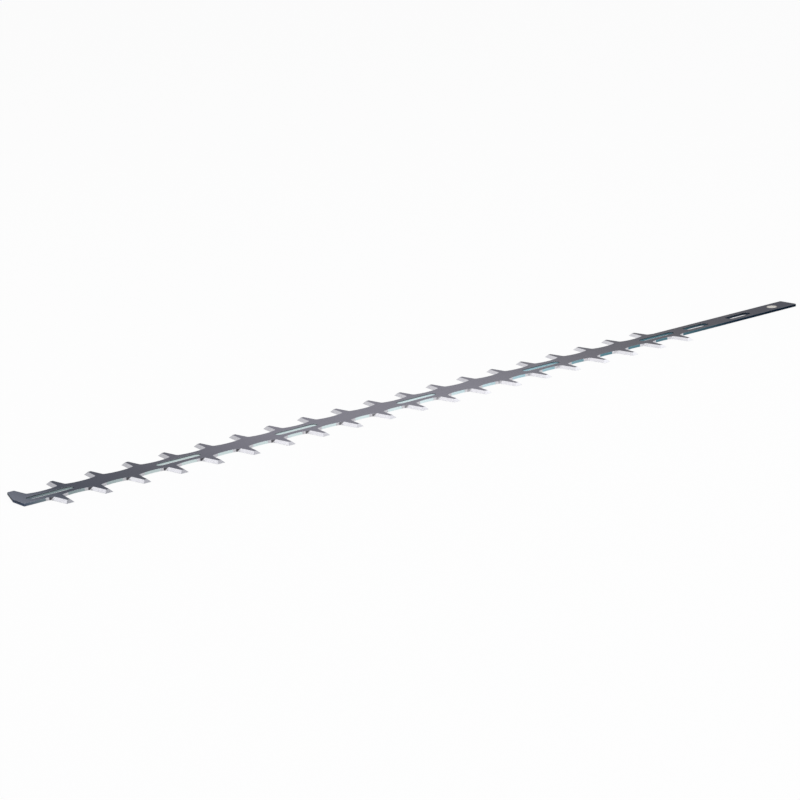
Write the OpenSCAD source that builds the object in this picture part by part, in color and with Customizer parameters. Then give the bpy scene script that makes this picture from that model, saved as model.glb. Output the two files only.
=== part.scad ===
// Double-sided cutting blade of a hedge trimmer, one flat strip of hardened spring steel.
// The origin is the centre of the drive hole, on the flat sliding face. X runs to the tip,
// Y across the blade and Z up through the thickness, to the face that carries the bevels.

/* [Strip] */
// Thickness of the steel
thickness = 2; // [1.5:0.1:3]
// Width of the plain strip, which the tang keeps
strip_w = 18; // [14:0.5:26]
// From the drive hole to the end of the tang
tang_end = 20; // [12:1:40]
// Radius on the two corners of the tang end
tang_corner_r = 1; // [0.5:0.1:3]
// From the last tooth's centre line to the tip end of the blade
tip_end = 25; // [20:0.5:40]

/* [Teeth] */
// Distance from one tooth to the next along a side
pitch = 30; // [26:0.5:40]
// Number of teeth on the long side
teeth = 20; // [4:1:26]
// From the drive hole to the first tooth of the long side
first_tooth = 120; // [110:1:180]
// From the centre line to the cutting tips
tooth_reach = 26; // [20:0.5:32]
// Width of a tooth where it leaves the strip, at the cutting edges
tooth_root_w = 10.6; // [8:0.1:13]
// Width of a tooth at its tip, at the cutting edges
tooth_tip_w = 6; // [5.2:0.1:8]

/* [Grinding] */
// Width of the ground bevel, seen from above
bevel_w = 2.1; // [1:0.1:2.5]
// Length over the ground roots on the two sides of a tooth
ground_w = 17.2; // [15:0.1:19]
// Slope of a ground root, up towards the middle of its tooth
root_angle = 15; // [12:0.5:20]
// Radius that the wheel leaves between a bevel and the root
root_r = 1.5; // [0.5:0.1:2.5]

/* [Hollows] */
// Width of the shallow hollow between two teeth, at the edge of the strip
hollow_w = 14; // [13:0.1:15]
// Depth of the hollow below the edge of the strip
hollow_depth = 0.6; // [0.2:0.1:0.8]

/* [Nose] */
// From the centre line to where the sloping front of the nose starts
nose_start = 6; // [2:0.5:8]

/* [Guide slots] */
// Width of a guide slot
guide_slot_w = 6.5; // [4:0.1:8]
// Length of a guide slot over its round ends
guide_slot_l = 36; // [20:0.5:44]
// Places of the guide slots, in pitches past the first tooth of the long side
guide_stations = [0.4, 4.5, 8.6, 12.25, 15.6, 19]; // [0:0.05:26]

/* [Tang] */
// Diameter of the drive hole
drive_hole_d = 9; // [6:0.1:12]
// Width of a tang slot
tang_slot_w = 7.5; // [5:0.1:9]
// Length of a tang slot over its round ends
tang_slot_l = 26; // [14:0.5:30]
// From the drive hole to the middle of the nearer tang slot
tang_slot_x = 40; // [32:0.5:50]
// From one tang slot to the next
tang_slot_step = 48.5; // [34:0.5:50]

/* [Hidden] */
$fn = 96;

// How far each cut runs past the faces that it opens
over = 1;
// Flats that stand for the round between a bevel and the root
round_steps = 6;

half_strip = strip_w / 2;
half_ground = ground_w / 2;
half_root = tooth_root_w / 2;
half_tip = tooth_tip_w / 2;

// The short side is set half a pitch on, and its last tooth is widened into the nose
short_teeth = teeth - 1;
last_tooth = first_tooth + (teeth - 1) * pitch;
nose_x = last_tooth + pitch / 2;
blade_end = last_tooth + tip_end;
nose_length = blade_end - nose_x;
nose_lean = (nose_length - half_tip) / (tooth_reach - nose_start);

// A hollow is an arc through its two ends and its deepest point
hollow_r = (hollow_w * hollow_w / 4 + hollow_depth * hollow_depth) / (2 * hollow_depth);
hollow_y = half_strip - hollow_depth + hollow_r;

// Before grinding, a tooth is a plain block that reaches past its tip and sideways into the strip
block_half = (half_ground + pitch / 2) / 2;
block_reach = tooth_reach + over;

// The ground root comes down to the hollow's arc at this height
root_end_x = pitch / 2 - half_ground;
root_end_y = hollow_y - sqrt(hollow_r * hollow_r - root_end_x * root_end_x);

// The cutting edge meets the ground root here, from the tooth's own centre line
flank_angle = atan((half_root - half_tip) / (tooth_reach - half_strip));
root_mid_y = root_end_y + half_ground * tan(root_angle);
corner_x = (half_root - (root_mid_y - half_strip) * tan(flank_angle)) / (1 - tan(root_angle) * tan(flank_angle));
corner_y = root_mid_y - corner_x * tan(root_angle);

// Directions along the cutting edge, up the bevel, along the root, and along the line where they meet
edge_dir = [-sin(flank_angle), cos(flank_angle), 0];
bevel_dir = [-bevel_w * cos(flank_angle), -bevel_w * sin(flank_angle), thickness];
root_dir = [cos(root_angle), -sin(root_angle), 0];
seam_dir = unit(bevel_dir + bevel_w * tan(flank_angle + root_angle) * edge_dir);
root_side = unit(root_dir - (root_dir * seam_dir) * seam_dir);
bevel_side = unit(edge_dir - (edge_dir * seam_dir) * seam_dir);
wedge_angle = acos(root_side * bevel_side);

// The vector v at length one
function unit(v) = v / norm(v);

// Places its children at point at, with their X along x_dir and their Z along z_dir
module in_frame(at, x_dir, z_dir) {
    y_dir = cross(z_dir, x_dir);
    multmatrix([
        [x_dir.x, y_dir.x, z_dir.x, at.x],
        [x_dir.y, y_dir.y, z_dir.y, at.y],
        [x_dir.z, y_dir.z, z_dir.z, at.z],
        [0, 0, 0, 1]
    ])
        children();
}

// A flat wedge of the given angle from the origin, with its point rounded to radius r
module rounded_wedge(angle, r, size) {
    centre = [r / tan(angle / 2), r];
    side = [cos(angle), sin(angle)];
    step = (180 - angle) / round_steps;
    polygon([
        [size, 0],
        size * (side + [1, 0]),
        size * side,
        for (i = [0:round_steps])
            centre + r * [cos(90 + angle + i * step), sin(90 + angle + i * step)]
    ]);
}

// The wheel's cut on the +X flank of a tooth and its root
module flank_grind() {
    size = 2 * tooth_reach;
    in_frame([corner_x, corner_y, 0], root_side, seam_dir)
        linear_extrude(2 * size, center = true)
            rounded_wedge(wedge_angle, root_r, size);
}

// The wheel's cut across the tip of a tooth
module tip_grind() {
    slope = bevel_w / thickness;
    far = block_reach + pitch;
    rotate([90, 0, 90])
        linear_extrude(pitch, center = true)
            polygon([
                [tooth_reach + over * slope, -over],
                [far, -over],
                [far, thickness + over],
                [tooth_reach - (thickness + over) * slope, thickness + over]
            ]);
}

// One ground tooth that points along +Y, with its base inside the strip
module tooth() {
    difference() {
        translate([-block_half, 0, 0])
            cube([2 * block_half, block_reach, thickness]);
        flank_grind();
        mirror([1, 0, 0])
            flank_grind();
        tip_grind();
    }
}

// The nose points along +Y, and is ground only on its tip and on the flank that faces the tang
module nose() {
    difference() {
        translate([-nose_length, 0, 0])
            cube([nose_length + block_half, block_reach, thickness]);
        flank_grind();
        tip_grind();
    }
}

// Places its children at each tooth of the long side, which points along +Y
module at_long_side() {
    for (i = [0:teeth - 1])
        translate([first_tooth + i * pitch, 0, 0])
            children();
}

// Places its children at each tooth of the short side, the nose left out
module at_short_side() {
    for (i = [0:short_teeth - 1])
        translate([first_tooth + (i + 0.5) * pitch, 0, 0])
            rotate([0, 0, 180])
                children();
}

// The strip with rounded corners at the tang end
module strip_outline() {
    translate([-tang_end, -half_strip + tang_corner_r])
        square([tang_end + blade_end, strip_w - 2 * tang_corner_r]);
    translate([-tang_end + tang_corner_r, -half_strip])
        square([tang_end + blade_end - tang_corner_r, strip_w]);
    for (side = [-1, 1])
        translate([-tang_end + tang_corner_r, side * (half_strip - tang_corner_r)])
            circle(tang_corner_r);
}

// The shallow hollows between the teeth of both sides
module hollows_outline() {
    for (i = [0:teeth - 2])
        translate([first_tooth + (i + 0.5) * pitch, hollow_y])
            circle(hollow_r);
    for (i = [0:short_teeth - 1])
        translate([first_tooth + (i + 1) * pitch, -hollow_y])
            circle(hollow_r);
}

// The strip with its teeth and nose, before the cuts that go right through
module toothed_strip() {
    linear_extrude(thickness)
        difference() {
            strip_outline();
            hollows_outline();
        }
    at_long_side()
        tooth();
    at_short_side()
        tooth();
    translate([nose_x, 0, 0])
        rotate([0, 0, 180])
            nose();
}

// The cut that slopes the front of the nose, from the end of the strip to the last tip of the short side
module nose_front() {
    run = tooth_reach - nose_start + 2 * over;
    top_y = over - nose_start;
    translate([0, 0, -over])
        linear_extrude(thickness + 2 * over)
            polygon([
                [blade_end + over * nose_lean, top_y],
                [blade_end + over * nose_lean - run * nose_lean, top_y - run],
                [blade_end + pitch, top_y - run],
                [blade_end + pitch, top_y]
            ]);
}

// A slot through the strip, with round ends
module slot(length, width) {
    reach = (length - width) / 2;
    for (end = [-1, 1])
        translate([end * reach, 0, -over])
            cylinder(h = thickness + 2 * over, d = width);
    translate([-reach, -width / 2, -over])
        cube([2 * reach, width, thickness + 2 * over]);
}

// The slots that ride on the guide bolts of the cutter bar
module guide_slots() {
    for (station = guide_stations)
        if (station <= teeth - 1)
            translate([first_tooth + station * pitch, 0, 0])
                slot(guide_slot_l, guide_slot_w);
}

// The two slots of the tang
module tang_slots() {
    for (i = [0:1])
        translate([tang_slot_x + i * tang_slot_step, 0, 0])
            slot(tang_slot_l, tang_slot_w);
}

// The hole that the drive pin takes
module drive_hole() {
    translate([0, 0, -over])
        cylinder(h = thickness + 2 * over, d = drive_hole_d);
}

module blade() {
    color([0.4, 0.41, 0.45])
        difference() {
            toothed_strip();
            nose_front();
            guide_slots();
            tang_slots();
            drive_hole();
        }
}

blade();
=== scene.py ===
"""Looks of a double-sided hedge trimmer blade: satin strip steel, sheared edges and bright ground bevels, with painted
reflections and highlights.
"""

import logging
import math
from dataclasses import dataclass, field
from enum import Enum

import bpy
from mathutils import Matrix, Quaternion, Vector

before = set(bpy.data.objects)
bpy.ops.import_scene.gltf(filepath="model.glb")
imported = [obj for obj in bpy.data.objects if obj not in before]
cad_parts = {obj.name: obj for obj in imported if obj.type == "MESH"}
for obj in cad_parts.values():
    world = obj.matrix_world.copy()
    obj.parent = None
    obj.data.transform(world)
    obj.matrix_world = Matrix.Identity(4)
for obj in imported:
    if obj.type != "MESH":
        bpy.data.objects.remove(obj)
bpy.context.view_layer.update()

MM = 0.001

logging.basicConfig(level=logging.INFO, format="%(message)s")
log = logging.getLogger("blade")

Colour = tuple[float, float, float]


class Sockets(Enum):
    """Kinds of socket that a shader node group takes in or puts out."""

    VALUE = "NodeSocketFloat"
    VECTOR = "NodeSocketVector"


@dataclass(frozen=True)
class BladeSizes:
    """Sizes of the blade that its finishes follow, in millimetres."""

    tang_end: float = -20.0
    blade_end: float = 715.0
    pitch: float = 30.0
    teeth: int = 20
    first_tooth: float = 120.0
    ground_half: float = 8.7
    root_low: float = 8.86
    shoulder_half: float = 6.3
    nose_ground_end: float = 708.0
    slot_half: float = 4.6
    rim_low: float = 1.25
    bore_end: float = 10.0
    painted_reflection_from: float = 150.0
    painted_reflection_full: float = 560.0


@dataclass(frozen=True)
class Stop:
    """A colour at a distance from the drive hole."""

    x: float
    colour: Colour


@dataclass(frozen=True)
class FaceFinish:
    """How one kind of face is finished.

    Args:
        stops: Colours along the blade, from the tang to the nose: each face's own tone with painted reflections.
        roughness: How matt the face is.
        stretch: Lines to a metre along X, Y and Z that the tool left in it.
        relief: Height of those lines, in metres.
        contrast: How much the lines darken the colour.
    """

    stops: tuple[Stop, ...]
    roughness: float
    stretch: Colour
    relief: float
    contrast: float


# Painted reflection: the satin top face's lighter and darker stretches along the blade stand for how light falls; under
# them is its own dark bluish tone.
SATIN_FACE_PAINTED_REFLECTION = FaceFinish(
    stops=(
        Stop(-20.0, (0.138, 0.141, 0.168)),
        Stop(110.0, (0.192, 0.190, 0.212)),
        Stop(330.0, (0.355, 0.350, 0.400)),
        Stop(500.0, (0.340, 0.334, 0.388)),
        Stop(620.0, (0.170, 0.173, 0.206)),
        Stop(680.0, (0.128, 0.137, 0.170)),
        Stop(715.0, (0.250, 0.270, 0.325)),
    ),
    roughness=0.42,
    stretch=(5200.0, 520.0, 900.0),
    relief=4e-6,
    contrast=0.16,
)
# Painted reflection: the sheared edges' navy, teal, pale cyan and dark stretches along the blade stand for reflected
# light; the steel has no coating.
EDGE_PAINTED_REFLECTION = FaceFinish(
    stops=(
        Stop(-20.0, (0.006, 0.012, 0.024)),
        Stop(60.0, (0.014, 0.030, 0.052)),
        Stop(130.0, (0.100, 0.215, 0.262)),
        Stop(200.0, (0.120, 0.250, 0.300)),
        Stop(270.0, (0.400, 0.610, 0.680)),
        Stop(380.0, (0.740, 0.870, 0.890)),
        Stop(590.0, (0.600, 0.700, 0.700)),
        Stop(690.0, (0.220, 0.285, 0.296)),
        Stop(715.0, (0.075, 0.092, 0.135)),
    ),
    roughness=0.34,
    stretch=(900.0, 900.0, 3800.0),
    relief=3e-6,
    contrast=0.20,
)
# The ground bevels' bright silver is their own; its fall towards the nose is a painted reflection.
GROUND_BEVEL_PAINTED_REFLECTION = FaceFinish(
    stops=(
        Stop(-20.0, (0.700, 0.700, 0.730)),
        Stop(300.0, (0.640, 0.635, 0.670)),
        Stop(715.0, (0.500, 0.500, 0.530)),
    ),
    roughness=0.30,
    stretch=(700.0, 4200.0, 700.0),
    relief=6e-6,
    contrast=0.45,
)
# The ground tips' bright silver is their own; their darkening towards the nose is a painted reflection.
GROUND_TIP_PAINTED_REFLECTION = FaceFinish(
    stops=(
        Stop(-20.0, (0.900, 0.905, 0.940)),
        Stop(330.0, (0.860, 0.860, 0.910)),
        Stop(560.0, (0.420, 0.420, 0.455)),
        Stop(715.0, (0.260, 0.265, 0.290)),
    ),
    roughness=0.30,
    stretch=(4200.0, 700.0, 700.0),
    relief=6e-6,
    contrast=0.22,
)
# Painted dark reflection in the tooth roots' corners, on each tooth's nose side.
ROOT_PAINTED_REFLECTION: Colour = (0.030, 0.026, 0.034)
# Painted dark reflection on the upper part of the slot walls.
SLOT_PAINTED_REFLECTION: Colour = (0.050, 0.052, 0.064)
# Painted highlight: the drive hole's wall is painted pale for the white backdrop seen through the hole; the wall is
# plain steel.
BORE_PAINTED_HIGHLIGHT: Colour = (0.740, 0.720, 0.680)
# Painted highlight along the sharp corners.
ARRIS_PAINTED_HIGHLIGHT: Colour = (0.62, 0.66, 0.74)


class Graph:
    """Short calls for adding nodes to one node tree."""

    def __init__(self, tree: bpy.types.NodeTree) -> None:
        """Takes the tree that the nodes go into."""
        self.tree = tree

    def add(self, kind: str, **settings: object) -> bpy.types.Node:
        """Adds a node.

        Args:
            kind: The node's type name.
            settings: Properties to set on it.

        Returns:
            The new node.
        """
        node = self.tree.nodes.new(kind)
        for name, value in settings.items():
            setattr(node, name, value)
        return node

    def feed(self, socket: bpy.types.NodeSocket, value: object) -> None:
        """Links a socket to another one, or sets it to a plain value."""
        if isinstance(value, bpy.types.NodeSocket):
            self.tree.links.new(value, socket)
        else:
            socket.default_value = value

    def math(self, operation: str, first: object, second: object = 0.0) -> bpy.types.NodeSocket:
        """Returns the result of a math node on one or two values."""
        node = self.add("ShaderNodeMath", operation=operation)
        self.feed(node.inputs[0], first)
        self.feed(node.inputs[1], second)
        return node.outputs[0]

    def both(self, *masks: object) -> bpy.types.NodeSocket:
        """Returns the product of several masks."""
        result = masks[0]
        for mask in masks[1:]:
            result = self.math("MULTIPLY", result, mask)
        return result

    def step(self, value: object, low: float, high: float) -> bpy.types.NodeSocket:
        """Returns a mask that rises smoothly from 0 at low to 1 at high."""
        node = self.add("ShaderNodeMapRange", interpolation_type="SMOOTHSTEP")
        self.feed(node.inputs["Value"], value)
        self.feed(node.inputs["From Min"], min(low, high))
        self.feed(node.inputs["From Max"], max(low, high))
        self.feed(node.inputs["To Min"], 0.0 if low < high else 1.0)
        self.feed(node.inputs["To Max"], 1.0 if low < high else 0.0)
        return node.outputs["Result"]

    def blend(self, mask: object, below: object, above: object) -> bpy.types.NodeSocket:
        """Returns one colour laid over another by a mask."""
        node = self.add("ShaderNodeMix", data_type="RGBA")
        self.feed(node.inputs[0], mask)
        self.feed(node.inputs[6], below if isinstance(below, bpy.types.NodeSocket) else (*below, 1.0))
        self.feed(node.inputs[7], above if isinstance(above, bpy.types.NodeSocket) else (*above, 1.0))
        return node.outputs[2]

    def lerp(self, mask: object, below: object, above: object) -> bpy.types.NodeSocket:
        """Returns one value laid over another by a mask."""
        node = self.add("ShaderNodeMix", data_type="FLOAT")
        self.feed(node.inputs[0], mask)
        self.feed(node.inputs[2], below)
        self.feed(node.inputs[3], above)
        return node.outputs[0]


def new_group(
    name: str, takes: dict[str, tuple[Sockets, object]], gives: dict[str, Sockets]
) -> tuple[bpy.types.NodeTree, Graph, bpy.types.Node, bpy.types.Node]:
    """Makes an empty shader node group with named sockets.

    Args:
        name: The group's name.
        takes: Input names, each with its kind and first value.
        gives: Output names, each with its kind.

    Returns:
        The group, a Graph on it, and its input and output nodes.
    """
    tree = bpy.data.node_groups.new(name, "ShaderNodeTree")
    for label, (kind, value) in takes.items():
        socket = tree.interface.new_socket(name=label, in_out="INPUT", socket_type=kind.value)
        socket.default_value = value
    for label, kind in gives.items():
        tree.interface.new_socket(name=label, in_out="OUTPUT", socket_type=kind.value)
    graph = Graph(tree)
    return tree, graph, graph.add("NodeGroupInput"), graph.add("NodeGroupOutput")


@dataclass
class SteelEffects:
    """Shader groups that the steel's material places: tool lines, face zones (with masks for painted reflections and a
    painted highlight) and rounded edges with a painted highlight.
    """

    sizes: BladeSizes = field(default_factory=BladeSizes)

    def tool_lines(self) -> bpy.types.NodeTree:
        """Builds the group of fine lines that a roller, shear or wheel leaves.

        Returns:
            The group, which gives a height and a shade that vary over the surface.
        """
        tree, graph, source, result = new_group(
            "tool_lines",
            {"Stretch": (Sockets.VECTOR, (1000.0, 1000.0, 1000.0)), "Contrast": (Sockets.VALUE, 0.2)},
            {"Height": Sockets.VALUE, "Shade": Sockets.VALUE},
        )
        place = graph.add("ShaderNodeTexCoord").outputs["Object"]
        scaled = graph.add("ShaderNodeVectorMath", operation="MULTIPLY")
        graph.feed(scaled.inputs[0], place)
        graph.feed(scaled.inputs[1], source.outputs["Stretch"])
        fine = graph.add("ShaderNodeTexNoise", noise_dimensions="3D")
        graph.feed(fine.inputs["Vector"], scaled.outputs[0])
        graph.feed(fine.inputs["Scale"], 1.0)
        graph.feed(fine.inputs["Detail"], 3.0)
        cloud = graph.add("ShaderNodeTexNoise", noise_dimensions="3D")
        graph.feed(cloud.inputs["Vector"], place)
        graph.feed(cloud.inputs["Scale"], 140.0)
        graph.feed(cloud.inputs["Detail"], 4.0)
        lines = fine.outputs[0]
        uneven = graph.math("MULTIPLY_ADD", graph.step(cloud.outputs[0], 0.35, 0.65), 0.5)
        dip = graph.both(graph.math("SUBTRACT", lines, 0.5), source.outputs["Contrast"], graph.math("ADD", uneven, 1.5))
        graph.feed(result.inputs["Height"], lines)
        graph.feed(result.inputs["Shade"], graph.math("ADD", dip, 1.0))
        return tree

    def face_zones(self) -> bpy.types.NodeTree:
        """Builds the group of masks that tell the kinds of face apart.

        Returns:
            The group, which gives masks for flat and ground faces, ground tips, a painted dark reflection in the tooth
            roots, a painted dark reflection on the upper slot walls and a painted highlight on the drive hole's wall.
        """
        s = self.sizes
        tree, graph, source, result = new_group(
            "face_zones",
            {"Painted Reflection Reach": (Sockets.VALUE, s.shoulder_half * MM)},
            {"Flat": Sockets.VALUE, "Ground": Sockets.VALUE, "Tip": Sockets.VALUE, "Root Painted Reflection": Sockets.VALUE,
             "Slot Painted Reflection": Sockets.VALUE, "Bore Painted Highlight": Sockets.VALUE},
        )
        coords = graph.add("ShaderNodeTexCoord")
        place = graph.add("ShaderNodeSeparateXYZ")
        facing = graph.add("ShaderNodeSeparateXYZ")
        graph.feed(place.inputs[0], coords.outputs["Object"])
        graph.feed(facing.inputs[0], coords.outputs["Normal"])
        tilt = graph.math("ABSOLUTE", facing.outputs[2])
        flat = graph.step(tilt, 0.93, 0.97)
        upright = graph.step(tilt, 0.10, 0.04)
        sloped = graph.math("SUBTRACT", graph.math("SUBTRACT", 1.0, flat), upright)

        across = graph.math("ABSOLUTE", place.outputs[1])
        short_side = graph.math("LESS_THAN", place.outputs[1], 0.0)
        shift = graph.math("MULTIPLY", short_side, s.pitch / 2 * MM)
        along = graph.math("SUBTRACT", graph.math("SUBTRACT", place.outputs[0], s.first_tooth * MM), shift)
        phase = graph.math("DIVIDE", along, s.pitch * MM)
        index = graph.math("ROUND", phase)
        offset = graph.math("MULTIPLY", graph.math("SUBTRACT", phase, index), s.pitch * MM)
        aside = graph.math("ABSOLUTE", offset)
        real_tooth = graph.both(
            graph.math("GREATER_THAN", index, -0.5), graph.math("LESS_THAN", index, s.teeth - 0.5)
        )
        root = graph.both(
            real_tooth,
            graph.math("LESS_THAN", aside, s.ground_half * MM),
            graph.math("GREATER_THAN", across, s.root_low * MM),
            graph.math("LESS_THAN", place.outputs[0], s.nose_ground_end * MM),
        )
        ground = graph.math("ADD", sloped, graph.both(upright, root))
        tip = graph.both(sloped, graph.step(graph.math("ABSOLUTE", facing.outputs[0]), 0.2, 0.1))
        # Painted dark reflection in the tooth roots: near the tooth, on its nose side only.
        near = graph.math("LESS_THAN", aside, source.outputs["Painted Reflection Reach"])
        nose_side = graph.step(offset, -0.5 * MM, 0.5 * MM)
        root_reflection_mask = graph.both(ground, root, near, graph.step(tilt, 0.60, 0.35), nose_side)
        graph.feed(result.inputs["Flat"], flat)
        graph.feed(result.inputs["Ground"], ground)
        graph.feed(result.inputs["Tip"], tip)
        in_slot = graph.both(upright, graph.math("LESS_THAN", across, s.slot_half * MM))
        # Painted dark reflection on the upper part of the slot walls.
        slot_reflection_mask = graph.both(in_slot, graph.step(place.outputs[2], (s.rim_low - 0.1) * MM, (s.rim_low + 0.1) * MM))
        # Painted highlight on the drive hole's wall.
        at_bore = graph.math("LESS_THAN", graph.math("ABSOLUTE", place.outputs[0]), s.bore_end * MM)
        # The painted dark reflection in the roots fades out towards the tang.
        strength = graph.step(place.outputs[0], s.painted_reflection_from * MM, s.painted_reflection_full * MM)
        graph.feed(result.inputs["Root Painted Reflection"], graph.both(root_reflection_mask, strength))
        graph.feed(result.inputs["Slot Painted Reflection"], slot_reflection_mask)
        graph.feed(result.inputs["Bore Painted Highlight"], graph.both(in_slot, at_bore))
        return tree

    def rounded_edges_and_painted_highlight(self) -> bpy.types.NodeTree:
        """Builds the group that finds the sharp corners, for a painted highlight along them.

        Returns:
            The group, which gives a mask for the painted highlight along the corners and a softened normal.
        """
        tree, graph, source, result = new_group(
            "rounded_edges_and_painted_highlight", {"Width": (Sockets.VALUE, 0.00025)}, {"Mask": Sockets.VALUE, "Normal": Sockets.VECTOR}
        )
        soft = graph.add("ShaderNodeBevel", samples=4)
        graph.feed(soft.inputs["Radius"], source.outputs["Width"])
        plain = graph.add("ShaderNodeNewGeometry")
        turn = graph.add("ShaderNodeVectorMath", operation="DOT_PRODUCT")
        graph.feed(turn.inputs[0], soft.outputs["Normal"])
        graph.feed(turn.inputs[1], plain.outputs["Normal"])
        # Mask for the painted highlight along the sharp corners; the softened normal rounds the corners.
        graph.feed(result.inputs["Mask"], graph.step(turn.outputs["Value"], 0.99, 0.85))
        graph.feed(result.inputs["Normal"], soft.outputs["Normal"])
        return tree


@dataclass
class BladeSteel:
    """The blade's one piece of steel, with a finish for each kind of face."""

    sizes: BladeSizes = field(default_factory=BladeSizes)
    specular_tint: float = 0.35

    def colours(self, graph: Graph, finish: FaceFinish) -> bpy.types.NodeSocket:
        """Returns a finish's colour along the blade: its own tone with painted reflections."""
        place = graph.add("ShaderNodeSeparateXYZ")
        graph.feed(place.inputs[0], graph.add("ShaderNodeTexCoord").outputs["Object"])
        length = self.sizes.blade_end - self.sizes.tang_end
        share = graph.math("DIVIDE", graph.math("SUBTRACT", place.outputs[0], self.sizes.tang_end * MM), length * MM)
        ramp = graph.add("ShaderNodeValToRGB")
        graph.feed(ramp.inputs[0], share)
        elements = ramp.color_ramp.elements
        for _ in finish.stops[2:]:
            elements.new(0.5)
        for element, stop in zip(elements, finish.stops):
            element.position = (stop.x - self.sizes.tang_end) / length
            element.color = (*stop.colour, 1.0)
        return ramp.outputs[0]

    def lines(self, graph: Graph, group: bpy.types.NodeTree, finish: FaceFinish) -> bpy.types.Node:
        """Places the tool lines of a finish and returns their node."""
        node = graph.add("ShaderNodeGroup", node_tree=group)
        graph.feed(node.inputs["Stretch"], finish.stretch)
        graph.feed(node.inputs["Contrast"], finish.contrast)
        return node

    def shaded(self, graph: Graph, colour: bpy.types.NodeSocket, shade: bpy.types.NodeSocket) -> bpy.types.NodeSocket:
        """Returns a colour darkened or lightened by a shade."""
        node = graph.add("ShaderNodeVectorMath", operation="SCALE")
        graph.feed(node.inputs[0], colour)
        graph.feed(node.inputs["Scale"], shade)
        return node.outputs[0]

    def material(self, effects: SteelEffects) -> bpy.types.Material:
        """Builds the material.

        Args:
            effects: The shared shader groups.

        Returns:
            The material for the blade's solid.
        """
        steel = bpy.data.materials.new("blade_steel")
        steel.use_nodes = True
        steel.node_tree.nodes.clear()
        graph = Graph(steel.node_tree)
        zones = graph.add("ShaderNodeGroup", node_tree=effects.face_zones()).outputs
        rounded_edge_and_highlight = graph.add("ShaderNodeGroup", node_tree=effects.rounded_edges_and_painted_highlight()).outputs
        group = effects.tool_lines()

        layers = ((EDGE_PAINTED_REFLECTION, None), (SATIN_FACE_PAINTED_REFLECTION, "Flat"), (GROUND_BEVEL_PAINTED_REFLECTION, "Ground"), (GROUND_TIP_PAINTED_REFLECTION, "Tip"))
        colour, roughness, height = None, None, None
        for finish, zone in layers:
            lines = self.lines(graph, group, finish)
            # Each finish's colour along the blade carries painted reflections over the face's own tone.
            tinted = self.shaded(graph, self.colours(graph, finish), lines.outputs["Shade"])
            relief = graph.math("MULTIPLY", lines.outputs["Height"], finish.relief)
            if zone is None:
                colour, roughness, height = tinted, finish.roughness, relief
            else:
                colour = graph.blend(zones[zone], colour, tinted)
                roughness = graph.lerp(zones[zone], roughness, finish.roughness)
                height = graph.lerp(zones[zone], height, relief)
        # Painted dark reflection in the tooth roots.
        colour = graph.blend(graph.math("MULTIPLY", zones["Root Painted Reflection"], 0.9), colour, ROOT_PAINTED_REFLECTION)
        # Painted dark reflection on the upper slot walls.
        colour = graph.blend(graph.math("MULTIPLY", zones["Slot Painted Reflection"], 0.85), colour, SLOT_PAINTED_REFLECTION)
        # Painted highlight on the drive hole's wall.
        colour = graph.blend(zones["Bore Painted Highlight"], colour, BORE_PAINTED_HIGHLIGHT)
        # Painted highlight along the sharp corners.
        colour = graph.blend(graph.math("MULTIPLY", rounded_edge_and_highlight["Mask"], 0.35), colour, ARRIS_PAINTED_HIGHLIGHT)

        bump = graph.add("ShaderNodeBump")
        graph.feed(bump.inputs["Height"], height)
        graph.feed(bump.inputs["Distance"], 1.0)
        graph.feed(bump.inputs["Normal"], rounded_edge_and_highlight["Normal"])
        shader = graph.add("ShaderNodeBsdfPrincipled")
        graph.feed(shader.inputs["Base Color"], colour)
        graph.feed(shader.inputs["Roughness"], roughness)
        graph.feed(shader.inputs["Normal"], bump.outputs["Normal"])
        graph.feed(shader.inputs["Metallic"], 1.0)
        graph.feed(shader.inputs["Specular Tint"], (self.specular_tint,) * 3 + (1.0,))
        out = graph.add("ShaderNodeOutputMaterial")
        graph.feed(out.inputs["Surface"], shader.outputs[0])
        return steel

    def dress(self, blade: bpy.types.Object, effects: SteelEffects) -> None:
        """Puts the material on every slot of the blade's solid."""
        steel = self.material(effects)
        for slot in blade.material_slots:
            slot.material = steel
        # The edge faces logged as coated carry painted reflections; their steel has no coating.
        log.info("blade: %d faces in satin, coated and ground steel", len(blade.data.polygons))


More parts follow.
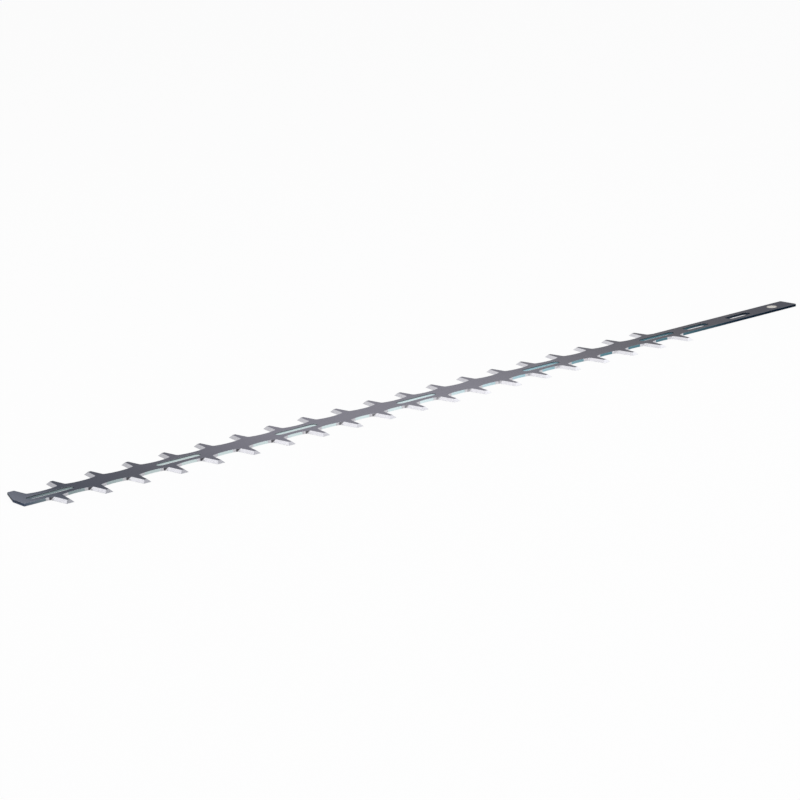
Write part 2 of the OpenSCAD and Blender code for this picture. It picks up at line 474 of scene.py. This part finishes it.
@dataclass
class Studio:
    """A white sweep with soft lamps, and the camera at the photograph's viewing angle."""

    floor_half: float = 4.0
    floor_gap: float = 0.0001
    floor_colour: Colour = (0.86, 0.86, 0.87)
    shown_white: float = 0.90
    ambient: float = 0.75
    aim: Colour = (388.5 * MM, -5.8 * MM, 2.0 * MM)
    distance: float = 1831.6 * MM
    azimuth: float = 37.485
    elevation: float = 14.327
    roll: float = -3.659
    lens: float = 111.83
    sensor: float = 36.0

    def seen_ray(self, graph: Graph) -> bpy.types.NodeSocket:
        """Returns a mask that is 1 for rays from the camera and for mirrored or refracted ones."""
        path = graph.add("ShaderNodeLightPath").outputs
        seen = graph.math("MAXIMUM", path["Is Camera Ray"], path["Is Glossy Ray"])
        return graph.math("MAXIMUM", seen, path["Is Transmission Ray"])

    def backdrop(self) -> None:
        """Makes the world: white where it is seen, and a plain soft light elsewhere."""
        world = bpy.data.worlds.new("white_sweep")
        bpy.context.scene.world = world
        world.use_nodes = True
        world.node_tree.nodes.clear()
        graph = Graph(world.node_tree)
        light = graph.add("ShaderNodeBackground")
        graph.feed(light.inputs["Color"], (1.0, 1.0, 1.0, 1.0))
        graph.feed(light.inputs["Strength"], graph.lerp(self.seen_ray(graph), self.ambient, 1.0))
        out = graph.add("ShaderNodeOutputWorld")
        graph.feed(out.inputs["Surface"], light.outputs[0])

    def floor(self) -> None:
        """Makes the pale floor, which keeps a faint shadow of the blade."""
        half, down = self.floor_half, -self.floor_gap
        corners = [(-half, -half, down), (half, -half, down), (half, half, down), (-half, half, down)]
        mesh = bpy.data.meshes.new("floor")
        mesh.from_pydata(corners, [], [(0, 1, 2, 3)])
        ground = bpy.data.objects.new("floor", mesh)
        bpy.context.collection.objects.link(ground)
        paint = bpy.data.materials.new("floor_white")
        paint.use_nodes = True
        paint.node_tree.nodes.clear()
        graph = Graph(paint.node_tree)
        matt = graph.add("ShaderNodeBsdfDiffuse")
        graph.feed(matt.inputs["Color"], (*self.floor_colour, 1.0))
        glow = graph.add("ShaderNodeEmission")
        mix = graph.add("ShaderNodeMixShader")
        graph.feed(mix.inputs[0], graph.math("MULTIPLY", self.seen_ray(graph), self.shown_white))
        graph.feed(mix.inputs[1], matt.outputs[0])
        graph.feed(mix.inputs[2], glow.outputs[0])
        out = graph.add("ShaderNodeOutputMaterial")
        graph.feed(out.inputs["Surface"], mix.outputs[0])
        ground.data.materials.append(paint)
        log.info("floor: white sweep %.0f m wide", 2 * half)

    def lamp(self, name: str, place: Colour, width: float, power: float) -> None:
        """Hangs a soft square lamp that points at the middle of the blade.

        Args:
            name: The lamp's name.
            place: Where it hangs, in metres.
            width: Its side, in metres.
            power: Its power, in watts.
        """
        data = bpy.data.lights.new(name, "AREA")
        data.size = width
        data.energy = power
        lamp = bpy.data.objects.new(name, data)
        lamp.location = place
        lamp.rotation_mode = "QUATERNION"
        lamp.rotation_quaternion = (Vector(self.aim) - Vector(place)).to_track_quat("-Z", "Y")
        bpy.context.collection.objects.link(lamp)
        log.info("lamp %s: %.0f W", name, power)

    def camera(self) -> None:
        """Sets the camera where the photograph was taken from."""
        azimuth, elevation = math.radians(self.azimuth), math.radians(self.elevation)
        back = Vector((
            math.sin(azimuth) * math.cos(elevation),
            math.cos(azimuth) * math.cos(elevation),
            math.sin(elevation),
        ))
        data = bpy.data.cameras.new("camera")
        data.sensor_width = self.sensor
        data.sensor_fit = "HORIZONTAL"
        data.lens = self.lens
        data.clip_start = 0.01
        camera = bpy.data.objects.new("camera", data)
        camera.location = Vector(self.aim) + self.distance * back
        camera.rotation_mode = "QUATERNION"
        turn = Quaternion((0.0, 0.0, 1.0), math.radians(self.roll))
        camera.rotation_quaternion = (-back).to_track_quat("-Z", "Y") @ turn
        bpy.context.collection.objects.link(camera)
        bpy.context.scene.camera = camera
        log.info("camera: %.2f m away with a %.0f mm lens", self.distance, self.lens)

    def build(self) -> None:
        """Makes the camera, backdrop, floor and lamps."""
        self.camera()
        self.backdrop()
        self.floor()
        self.lamp("key", (0.1, 1.6, 2.0), 1.4, 16.0)
        self.lamp("fill", (1.9, -1.2, 1.5), 1.6, 7.0)


def main() -> None:
    """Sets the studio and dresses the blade."""
    bpy.context.scene.view_settings.view_transform = "Standard"
    Studio().build()
    BladeSteel().dress(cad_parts["blade"], SteelEffects())


if __name__ == "__main__":
    main()
